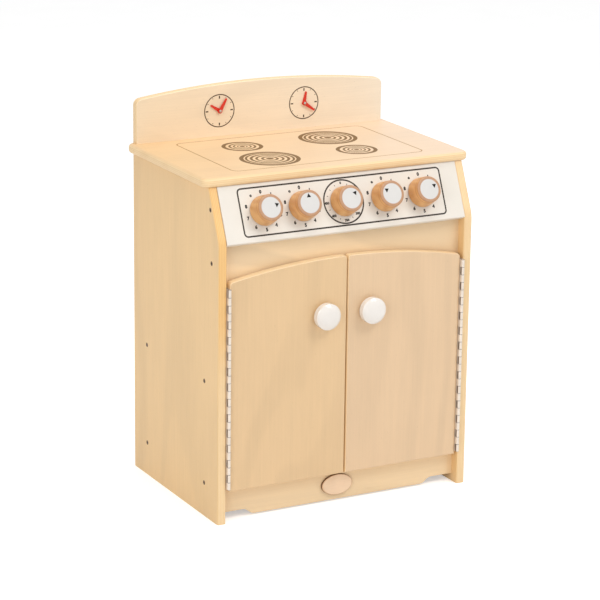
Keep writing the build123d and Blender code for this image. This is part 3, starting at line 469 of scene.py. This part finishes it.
def solid_wood(name, axis, tone, dark, rim, shift, dark_rings=()):
    """Lacquered solid wood: fibres along an axis, lathe bands across it, a browner end face.

    Each dark ring is a height along the axis, in metres from the origin, where the wood is
    darker over about a millimetre.
    """
    finish = Finish(name)
    place, normal = finish.axes("Object"), finish.axes("Normal")
    along, facing = finish.dot(axis, place), finish.dot(axis, normal)
    end = finish.ramp(finish.sums("ABSOLUTE", facing), 0.40, 0.75)
    drift = finish.noise(place[0] * 30 + shift, place[1] * 30, place[2] * 30, detail=2)
    growth = finish.sums("SINE", (place[0] + place[2] * 0.7) * 420 + drift * 14) * 0.5 + 0.5
    bands = finish.noise(along * 900 + shift, 0.0, 0.0, detail=2)
    fibres = finish.noise(place[0] * 500 + shift, place[1] * 500, place[2] * 500, detail=3)
    shade = growth * GROWTH_SHARE + bands * BAND_SHARE + fibres * FINE_SHARE - 0.12
    for ring_height in dark_rings:
        off = finish.sums("ABSOLUTE", along - ring_height)
        shade = shade + finish.ramp(off, DARK_RING_WIDTH, 0.0) * DARK_RING_SHARE
    colour = finish.mix(shade, tinted(tone, 1.03), tinted(dark, 1.0))
    colour = finish.mix(end * 0.85, colour, finish.mix(fibres, tinted(rim, 1.05), tinted(rim, 0.88)))
    bump = finish.bump(bands + fibres, 0.12)
    return finish.surface(base_color=colour, roughness=fibres * 0.1 + 0.33, normal=bump)


DIALS = range(1, 6)
for number in DIALS:
    turned_about = joints[f"dial_{number}_turn"]["axis"]
    front = measured(f"dial_{number}", (0.0, 0.0, 0.0), turned_about)
    maple = solid_wood(f"maple_dial_{number}", turned_about, (226, 176, 114), (196, 134, 76),
                       RIM_BROWN, 4.0 * number, [front - depth for depth in DARK_RING_DEPTHS])
    dress(maple, f"dial_{number}")
pine = solid_wood("pine_cleats", (0, 1, 0), (232, 205, 158), (206, 168, 112), (214, 180, 132), 2.0)
dress(pine, "cleat_left", "cleat_right")
print("five dials of maple and two cleats of pine")

# %% [markdown]
# ## Paint and plastic
# The panel is sprayed white, the door knobs are glossy white, the discs in the dials
# are white plastic, the clock hands are red and the magnetic catches brown. Sprayed
# and moulded surfaces are never quite flat, so each gets a fine ripple, a slight
# drift in colour and a little uneven gloss. A disc's rim is painted brown where it
# meets the wood of its dial: painted shade from the wood round it.


# %% Paint and plastic finish
def smooth_coat(name, colour, roughness, ripple, grain=260, drift=0.03, coat=0.0, rim=None):
    """Paint or moulded plastic: a fine orange-peel ripple and a slight drift in tone.

    A rim is (centre, axis, inner, outer, stain_and_shade): the colour turns to that colour,
    a painted shade, between two distances from a line. The distance is the root of the
    offset's square less the square of its part along the axis.
    """
    finish = Finish(name)
    x, y, z = finish.axes("Object")
    peel = finish.noise(x * grain, y * grain, z * grain, detail=2)
    cloud = finish.noise(x * 14, y * 14, z * 14, detail=3)
    shade = finish.mix(cloud, tinted(colour, 1 + drift), tinted(colour, 1 - drift))
    dust = finish.noise(x * 1500, y * 1500, z * 1500, detail=1)
    shade = finish.mix(finish.ramp(dust, 0.72, 0.85) * 0.25, shade, tinted(colour, 0.8))
    if rim:
        centre, axis, inner, outer, stain_and_shade = rim
        dx, dy, dz = x - centre[0], y - centre[1], z - centre[2]
        height = finish.dot(axis, (dx, dy, dz))
        away = finish.sums("SQRT", dx * dx + dy * dy + dz * dz - height * height)
        # Painted shade: towards its edge the disc turns the brown of the dial's rim.
        shade = finish.mix(finish.ramp(away, inner, outer), shade, paint(*stain_and_shade))
    # Both noises average a half, so about half of their shares is taken off again.
    rough = cloud * 0.12 + peel * 0.05 + (roughness - 0.08)
    bump = finish.bump(peel, ripple)
    return finish.surface(base_color=shade, roughness=rough, normal=bump, coat_weight=coat)


DISC_RIM_SHADE = (16.3 * MM, 17.5 * MM)                # the painted shade begins and is full, from the axis
dress(smooth_coat("panel_white", (229, 222, 211), 0.38, 0.10), "control_panel")
for number in DIALS:
    joint = joints[f"dial_{number}_turn"]
    rim = (joint["pos_m"], joint["axis"], *DISC_RIM_SHADE, RIM_BROWN)
    disc = smooth_coat(f"disc_white_{number}", (214, 211, 207), 0.34, 0.05, grain=500, rim=rim)
    dress(disc, f"dial_face_{number}")
knob_white = smooth_coat("knob_white", (236, 230, 223), 0.16, 0.04, coat=0.4)
hand_red = smooth_coat("hand_red", (214, 44, 20), 0.34, 0.08, grain=600)
catch_brown = smooth_coat("catch_brown", (112, 78, 50), 0.42, 0.10, grain=700)
dress(knob_white, "door_knob_left", "door_knob_right")
HANDS = [f"clock_{kind}_hand_{side}" for kind in ("hour", "minute") for side in ("left", "right")]
dress(hand_red, *HANDS)
print("paint and plastic on the panel, discs, knobs and hands")

# %% [markdown]
# ## Metal
# The hinges are rolled strip with a pale, satin nickel plating that scatters light
# almost as paint does, so their shader is only a third metal. Dust and shadow settle
# in the seams between the knuckles, which the pin's foot and the knuckles' pitch
# place, and in the gap beside each knuckle. The screws in the sides are dark bronze,
# the others bright zinc. Fine scratches drive the roughness, so the metal glints
# unevenly.


# %% Metal finish
KNUCKLE_PITCH = 13.0 * MM
BARREL_IN, BARREL_OUT = 1.05, 1.15                 # the painted shade and dust fade out between these shares of a radius
SEAM_IN, SEAM_OUT = 0.02, 0.07                     # a seam's half width and its soft edge, of a pitch
SEAM_SHADE_AND_DUST_SHARE, GAP_SHADOW_SHARE = 0.55, 0.85                 # how dark the seams' painted shade and dust, and the gap's painted shadow, are
GAP_SHADOW_BROWN = (92, 58, 24)


def metal(name, colour, roughness, along, metallic=1.0, knuckles=None):
    """Plated steel with fine scratches along one axis and, on a hinge, painted shade on the knuckles.

    Knuckles are (x, y, radius, foot, hand). Within the radius of the upright line at x
    and y there is a dark seam of painted shade and dust at every KNUCKLE_PITCH above the
    foot, and what faces the hand's side in x is painted dark as the shadow of the gap
    that a knuckle leaves next to the other board.
    """
    finish = Finish(name)
    place = finish.axes("Object")
    pull = [place[axis] * (60 if axis == along else 1800) for axis in range(3)]
    scratch = finish.noise(*pull, detail=3)
    cloud = finish.noise(*(part * 90 for part in place), detail=2)
    shade = finish.mix(cloud, tinted(colour, 1.04), tinted(colour, 0.92))
    shade = finish.mix(finish.ramp(scratch, 0.60, 0.75) * 0.25, shade, tinted(colour, 0.75))
    if knuckles is not None:
        x, y, radius, foot, hand = knuckles
        dx, dy = place[X] - x, place[Y] - y
        away = finish.sums("SQRT", dx * dx + dy * dy)
        barrel = finish.ramp(away, radius * BARREL_OUT, radius * BARREL_IN)
        # Painted shade with dust darkens the seams; painted shadow darkens the side towards the gap.
        step = finish.sums("FRACT", (place[Z] - foot) / KNUCKLE_PITCH + 0.5)
        seam = 1 - finish.ramp(finish.sums("ABSOLUTE", step - 0.5), SEAM_IN, SEAM_OUT)
        shade = finish.mix(seam * barrel * SEAM_SHADE_AND_DUST_SHARE, shade, tinted(colour, 0.45))
        beside = finish.ramp(finish.axes("Normal")[X] * hand, 0.80, 0.93)
        shade = finish.mix(beside * barrel * GAP_SHADOW_SHARE, shade, paint(*GAP_SHADOW_BROWN))
    bump = finish.bump(scratch, 0.1, 0.1 * MM)
    # Both noises average a half, so about half of their shares is taken off again.
    rough = scratch * 0.25 + cloud * 0.1 + (roughness - 0.17)
    return finish.surface(base_color=shade, metallic=metallic, roughness=rough, normal=bump)


hinge_foot = float(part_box("hinge_pin_left")[0][Z])
pin_points = mesh_points(nodes["hinge_pin_right"].data)
PIN_X, PIN_Y = (float(pin_points[:, part].mean()) for part in (X, Y))
KNUCKLE_RADIUS = PIN_Y - float(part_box("hinge_door_leaf_right")[0][Y])
NICKEL, NICKEL_ROUGH, NICKEL_SHARE = (232, 220, 206), 0.42, 0.35    # tone, roughness, metallic


def leaf_nickel(name, sign, hand):
    """Plating for a leaf at sign * PIN_X whose knuckles carry painted shade in their seams and painted
    shadow towards the hand's side.
    """
    knuckles = (sign * PIN_X, PIN_Y, KNUCKLE_RADIUS, hinge_foot, hand)
    return metal(name, NICKEL, NICKEL_ROUGH, Z, metallic=NICKEL_SHARE, knuckles=knuckles)


print("knuckles of radius", round(KNUCKLE_RADIUS / MM, 2), "mm round x", round(PIN_X / MM, 1), "mm")
zinc = metal("screw_zinc", (196, 192, 184), 0.34, Y)
bronze = metal("screw_bronze", (112, 80, 50), 0.5, Y, metallic=0.3)
magnet = metal("magnet_black", (70, 68, 66), 0.5, X)
pin_nickel = metal("pin_nickel", NICKEL, NICKEL_ROUGH, Z, metallic=NICKEL_SHARE)
SIDES = ((-1, "left"), (1, "right"))
for sign, side in SIDES:
    dress(leaf_nickel(f"door_leaf_nickel_{side}", sign, sign), f"hinge_door_leaf_{side}")
    dress(leaf_nickel(f"frame_leaf_nickel_{side}", sign, -sign), f"hinge_frame_leaf_{side}")
    dress(pin_nickel, f"hinge_pin_{side}")
    dress(zinc, f"door_knob_screw_{side}", f"hinge_door_screws_{side}")
    dress(zinc, f"strike_{side}", f"strike_screws_{side}")
    dress(catch_brown, f"catch_{side}")
dress(bronze, "side_screws")
dress(zinc, "backsplash_screws", "back_screws", "cleat_screws", "hinge_frame_screws")
dress(zinc, "catch_screws", "clock_rivets", *(f"dial_screw_{number}" for number in DIALS))
dress(magnet, "catch_magnets")
bare = [name for name, node in nodes.items() if not all(slot.material for slot in node.material_slots)]
print("nodes without a finish:", bare)

# %% [markdown]
# ## Printed lines
# The burners, the clock rings, the borders and the numbers are printed on. A print
# could be a mask in the board's material, but a thin layer of ink as its own mesh
# stays sharp at any distance. Each line is a closed band or slug a twentieth of a
# millimetre proud, whose outline is a function of an angle or a few corners. The ink
# is matt, and its tone drifts a little with the surface below.

# %% Bands and slugs
INK_HIGH, INK_LOW = 0.05 * MM, -0.03 * MM
WELD = 1e-7                                        # points nearer than this, in metres, become one


def ring_quads(rows, around, wrapped):
    """Quads that join neighbouring rows of a grid of closed rings, last to first if wrapped."""
    index = np.arange(rows * around).reshape(rows, around)
    lower = index if wrapped else index[:-1]
    upper = np.roll(index, -1, 0) if wrapped else index[1:]
    quads = [lower, np.roll(lower, -1, 1), np.roll(upper, -1, 1), upper]
    return np.stack(quads, -1).reshape(-1, 4)


def circle(radius, count=96):
    """radius * (cos t, sin t) for t over a full turn."""
    turn = np.linspace(0, 2 * np.pi, count, endpoint=False)
    return radius * np.stack([np.cos(turn), np.sin(turn)], -1)


def rounded_box(half_x, half_y, corner, per_corner=10):
    """A box outline whose corners are quarter circles, counter-clockwise."""
    turn = np.linspace(0, np.pi / 2, per_corner)
    quarter = np.arange(4)[:, None] * np.pi / 2 + turn
    centre = np.array([[1, 1], [-1, 1], [-1, -1], [1, -1]]) * (half_x - corner, half_y - corner)
    arc = corner * np.stack([np.cos(quarter), np.sin(quarter)], -1)
    return (centre[:, None, :] + arc).reshape(-1, 2)


def on_plane(outline, height, plane):
    """origin + u * x_axis + v * y_axis + height * normal, for each (u, v) of the outline."""
    origin, x_axis, y_axis = (np.asarray(part, float) for part in plane)
    normal = np.cross(x_axis, y_axis)
    return origin + outline[:, :1] * x_axis + outline[:, 1:] * y_axis + height * normal


def band(outer, inner, plane):
    """A flat closed band between two outlines of equal count."""
    rows = [on_plane(outer, INK_LOW, plane), on_plane(outer, INK_HIGH, plane)]
    rows += [on_plane(inner, INK_HIGH, plane), on_plane(inner, INK_LOW, plane)]
    return np.concatenate(rows), ring_quads(4, len(outer), True)


def framed(half_x, half_y, corner, line, plane, middle=(0, 0)):
    """A rounded border line, given in millimetres by its outer edge and its width."""
    outer = rounded_box(half_x * MM, half_y * MM, corner * MM)
    inner = rounded_box((half_x - line) * MM, (half_y - line) * MM, (corner - line) * MM)
    return band(middle + outer, middle + inner, plane)


def slug(outline, plane):
    """A flat closed slug: the outline, closed above and below onto its middle."""
    middle = np.repeat(outline.mean(0)[None], len(outline), 0)
    rows = [on_plane(middle, INK_LOW, plane), on_plane(outline, INK_LOW, plane)]
    rows += [on_plane(outline, INK_HIGH, plane), on_plane(middle, INK_HIGH, plane)]
    return np.concatenate(rows), ring_quads(4, len(outline), False)


def gather(name, solids, material, body):
    """One object from a list of (points, faces), with poles closed and normals outwards."""
    points, faces, start = [], [], 0
    for solid_points, solid_faces in solids:
        points.append(solid_points)
        faces += [[int(corner) + start for corner in face] for face in solid_faces]
        start += len(solid_points)
    mesh = bpy.data.meshes.new(name)
    mesh.from_pydata(np.concatenate(points).tolist(), [], faces)
    work = bmesh.new()
    work.from_mesh(mesh)
    bmesh.ops.remove_doubles(work, verts=work.verts, dist=WELD)
    bmesh.ops.recalc_face_normals(work, faces=work.faces)
    work.to_mesh(mesh)
    work.free()
    mesh.materials.append(material)
    piece = bpy.data.objects.new(name, mesh)
    bpy.context.scene.collection.objects.link(piece)
    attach(piece, body)
    print(f"{name}: {len(solids)} solids, {len(mesh.polygons)} faces")


def ink(name, colour, fade):
    """Screen ink that lets the surface below show a little: its tone drifts in patches."""
    finish = Finish(name)
    x, y, z = finish.axes("Object")
    patch = finish.noise(x * 120, y * 120, z * 120, detail=3)
    grit = finish.noise(x * 900, y * 900, z * 900, detail=2)
    colour = finish.mix(patch * 0.5 + grit * 0.5, tinted(colour, 1 + fade), tinted(colour, 1 - fade))
    bump = finish.bump(grit, 0.1, 0.1 * MM)
    rough = grit * 0.1 + 0.52
    return finish.surface(base_color=colour, roughness=rough, normal=bump, specular_ior_level=0.2)


# %% [markdown]
# ## Cross recesses
# A screw is known by the cross that its driver fits. The heads' places are found in
# the meshes: the points that reach furthest the way a head faces lie on its rim, and
# their middle is the head's. Two dark bars cross there on each head, painted shade for
# the hollow of the cross recess.


# %% Cross recesses
RIM_DEPTH = 0.05 * MM
DRIVER_TURN = (0.37, 0.53, 0.76)                   # any slanting line: it turns the crosses
ARM_SHARE, HALF_SHARE = 0.58, 0.15                 # a bar's reach and half width, of the head


def head_middles(name, direction, spread):
    """The middle of each bunch of points that reach furthest along a direction."""
    points = mesh_points(nodes[name].data)
    reach = points @ direction
    rim = points[reach > reach.max() - RIM_DEPTH]
    middles = []
    while len(rim):
        near = np.linalg.norm(rim - rim[0], axis=1) < spread
        middles.append(rim[near].mean(0))
        rim = rim[~near]
    return middles


def crosses(name, node, direction, head_radius, body):
    """Two crossing dark bars, painted shade for a cross recess, on every screw head of a node that
    faces a direction.
    """
    direction = np.asarray(direction, float)
    across = unit(np.cross(direction, DRIVER_TURN))
    arm, half = head_radius * ARM_SHARE, head_radius * HALF_SHARE
    bar = np.array([[-arm, -half], [arm, -half], [arm, half], [-arm, half]])
    solids = []
    for middle in head_middles(node, direction, 2.2 * head_radius):
        for first in (across, np.cross(direction, across)):
            solids.append(slug(bar, (middle, first, np.cross(direction, first))))
    gather(name, solids, painted_recess_shade, body)


# Painted shade: the hollow of each cross recess is drawn as dark ink on the head.
painted_recess_shade = ink("painted_recess_shade", (34, 28, 24), 0.2)
SIDE_HEAD, BACK_HEAD, LEAF_HEAD, STRIKE_HEAD = 3.8 * MM, 2.9 * MM, 2.6 * MM, 2.5 * MM
crosses("side_crosses_left", "side_screws", (-1, 0, 0), SIDE_HEAD, "cabinet")
crosses("side_crosses_right", "side_screws", (1, 0, 0), SIDE_HEAD, "cabinet")
crosses("back_crosses", "back_screws", (0, 1, 0), BACK_HEAD, "cabinet")
for sign, side in SIDES:
    crosses(f"door_leaf_crosses_{side}", f"hinge_door_screws_{side}", (sign, 0, 0), LEAF_HEAD,
            f"{side}_door")
    crosses(f"strike_crosses_{side}", f"strike_screws_{side}", (0, 1, 0), STRIKE_HEAD, f"{side}_door")

# %% [markdown]
# ## The burners and the border on the worktop
# Four burners are printed in brown: two large ones on one diagonal and two small on
# the other. Each is a set of rings, six to ten millimetres apart, round a solid
# middle, and a thin line with rounded corners frames all four.


# %% Burners
hob_ink = ink("hob_ink", (128, 98, 62), 0.10)
line_ink = ink("line_ink", (72, 52, 34), 0.10)
HOB = ((0, 0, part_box("worktop")[1][Z]), (1, 0, 0), (0, 1, 0))
# Each ring's outer and inner radius, in millimetres, as are all sizes in this cell.
LARGE_RINGS = [(50.5, 43.4), (41.2, 37.4), (33.2, 28.6), (24.0, 20.2), (14.6, 10.5)]
SMALL_RINGS = [(35.0, 28.2), (23.4, 19.8), (15.8, 13.0), (9.0, 7.0)]
BURNERS = [
    # x, y, rings and the radius of the middle
    (-82, 68.7, SMALL_RINGS, 4.2), (80.5, -31.7, SMALL_RINGS, 4.2),
    (80.5, 68.7, LARGE_RINGS, 6.2), (-82, -31.7, LARGE_RINGS, 6.2),
]
hob = []
for x, y, rings, middle in BURNERS:
    centre = np.array([x, y]) * MM
    hob += [band(centre + circle(o * MM), centre + circle(i * MM), HOB) for o, i in rings]
    hob.append(slug(centre + circle(middle * MM), HOB))
gather("hob_print", hob, hob_ink, "cabinet")

BORDER_HALF_X, BORDER_FRONT, BORDER_REAR, BORDER_CORNER, BORDER_LINE = 178, -92, 134, 14, 2.0
border_middle = np.array([0, (BORDER_FRONT + BORDER_REAR) / 2]) * MM
border = framed(BORDER_HALF_X, (BORDER_REAR - BORDER_FRONT) / 2, BORDER_CORNER, BORDER_LINE, HOB,
                border_middle)
gather("hob_border", [border], ink("border_ink", (176, 136, 86), 0.08), "cabinet")

# %% [markdown]
# ## The clock faces
# Each clock is a thin printed ring with twelve strokes, of which the ones at 12, 3,
# 6 and 9 are bolder. The ring is centred on the joint that the hands turn about, so
# hands and ring can't drift apart.


# %% Clock rings
def stroke(start, end, width, turn):
    """A bar along the radius at an angle, from one distance to another."""
    bar = np.array([[start, -width / 2], [end, -width / 2], [end, width / 2], [start, width / 2]])
    spin = np.array([[math.cos(turn), math.sin(turn)], [-math.sin(turn), math.cos(turn)]])
    return bar @ spin


CLOCK_RADIUS, CLOCK_LINE = 28.6 * MM, 1.7 * MM
BOLD_STROKE, FINE_STROKE = (20.8, 25.6, 2.2), (24.0, 25.6, 1.2)    # start, end and width, in mm
HOURS = 12
clock_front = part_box("backsplash")[0][Y]
dialplate = []
for side in ("left", "right"):
    pivot = joints[f"{side}_hour_hand_turn"]["pos_m"]
    plane = ((pivot[0], clock_front, pivot[2]), (1, 0, 0), (0, 0, 1))
    dialplate.append(band(circle(CLOCK_RADIUS), circle(CLOCK_RADIUS - CLOCK_LINE), plane))
    for hour in range(HOURS):
        start, end, width = FINE_STROKE if hour % 3 else BOLD_STROKE
        bar = stroke(start * MM, end * MM, width * MM, hour * 2 * math.pi / HOURS)
        dialplate.append(slug(bar, plane))
gather("clock_print", dialplate, line_ink, "cabinet")

# %% [markdown]
# ## The panel's print
# A rounded border runs round the white panel. The four outer dials have the numbers
# 0 to 9 round them, and the middle one a ring with oven heats and strokes between
# them. Numbers are made with Blender's own font, turned into a thin mesh and then
# laid on the slant. With the strokes grown, the tail of each 9 has walls but no
# faces, and no 3 is quite closed.

# %% Panel print
panel_ink = ink("panel_ink", (24, 20, 18), 0.12)
axis = unit(joints["dial_3_turn"]["axis"])
slant_up = unit(np.cross(axis, (1, 0, 0)))
dial_centre = np.array(joints["dial_3_turn"]["pos_m"])
panel_face = dial_centre + axis * measured("control_panel", dial_centre, axis)
EM_SHARE, BOLD = 1.4, 0.085   # a numeral's type size and how far its strokes grow, of its height


def slant_plane(origin, turn=0.0):
    """A plane square to the dials' axis whose first axis is turned counter-clockwise."""
    along = np.array([1.0, 0, 0]) * math.cos(turn) + slant_up * math.sin(turn)
    return (origin, along, np.cross(axis, along))


def panel_plane(x):
    """The panel's face with its origin under the dial at x."""
    return slant_plane((x, panel_face[Y], panel_face[Z]))


def round_dial(degrees):
    """Where a number stands: SCALE_RADIUS * (cos t, sin t) for an angle in degrees."""
    turn = math.radians(degrees)
    return SCALE_RADIUS * math.cos(turn), SCALE_RADIUS * math.sin(turn)


def numeral(text, height, plane, place):
    """Text as a thin slab, centred at (u, v) of a plane; not every glyph closes."""
    curve = bpy.data.curves.new("numeral", "FONT")
    curve.body, curve.size = text, height * EM_SHARE
    curve.align_x, curve.align_y = "CENTER", "CENTER"
    curve.resolution_u = 3
    curve.extrude = (INK_HIGH - INK_LOW) / 2
    curve.offset = height * BOLD
    letters = bpy.data.objects.new("numeral", curve)
    mesh = bpy.data.meshes.new_from_object(letters)
    points = mesh_points(mesh)
    faces = [list(face.vertices) for face in mesh.polygons]
    lift = points[:, 2:] + (INK_HIGH + INK_LOW) / 2
    laid = on_plane(points[:, :2] + place, lift, plane)
    bpy.data.objects.remove(letters)
    bpy.data.curves.remove(curve)
    bpy.data.meshes.remove(mesh)
    return laid, faces


SCALE_RADIUS, DIGIT_HEIGHT = 31 * MM, 5.4 * MM
HEAT_DIAL, HEAT_HEIGHT = 3, DIGIT_HEIGHT * 0.72
RING_OUTER, RING_INNER = 37.2 * MM, 34.7 * MM
DIGIT_STEP = 36                                    # degrees from a digit to the next
HEATS = {90: 0, 180: 450, 225: 400, 270: 350, 315: 300, 0: 250, 45: 200}
HEAT_STROKES = (22.5, 67.5, 112.5, 135, 157.5, 202.5, 247.5, 292.5, 337.5)
HEAT_STROKE = (28.5 * MM, 31 * MM, 0.9 * MM)       # start, end and width
PANEL_BORDER = (187.8, 40.4, 7.5, 2.6)             # half width, half height, corner, line, in mm
panel_lines, panel_numbers = [], []
for number in DIALS:
    plane = panel_plane(joints[f"dial_{number}_turn"]["pos_m"][X])
    if number == HEAT_DIAL:
        panel_lines.append(band(circle(RING_OUTER), circle(RING_INNER), plane))
        for degrees, heat in HEATS.items():
            panel_numbers.append(numeral(str(heat), HEAT_HEIGHT, plane, round_dial(degrees)))
        for degrees in HEAT_STROKES:
            panel_lines.append(slug(stroke(*HEAT_STROKE, math.radians(degrees)), plane))
    else:
        for digit in range(10):
            spot = round_dial(90 - DIGIT_STEP * digit)
            panel_numbers.append(numeral(str(digit), DIGIT_HEIGHT, plane, spot))
panel_lines.append(framed(*PANEL_BORDER, panel_plane(0)))
gather("panel_lines", panel_lines, ink("border_black", (62, 54, 48), 0.12), "cabinet")
gather("panel_numbers", panel_numbers, panel_ink, "cabinet")

# %% [markdown]
# ## The pointers on the dials
# Each white disc has a small black triangle near its edge. It rides on the dial's
# own body, so it turns with the dial.

# %% Pointers
POINTERS = {1: 18, 2: 90, 3: 45, 4: 144, 5: 28}    # each dial's angle at rest, in degrees
POINTER_START, POINTER_TIP, POINTER_HALF = 9.2 * MM, 15.8 * MM, 3.9 * MM
mark = np.array([[POINTER_START, -POINTER_HALF], [POINTER_TIP, 0], [POINTER_START, POINTER_HALF]])
for number, degrees in POINTERS.items():
    centre = np.array(joints[f"dial_{number}_turn"]["pos_m"])
    top = centre + axis * measured(f"dial_face_{number}", centre, axis)
    plane = slant_plane(top, math.radians(degrees))
    gather(f"pointer_{number}", [slug(mark, plane)], panel_ink, f"dial_{number}_body")
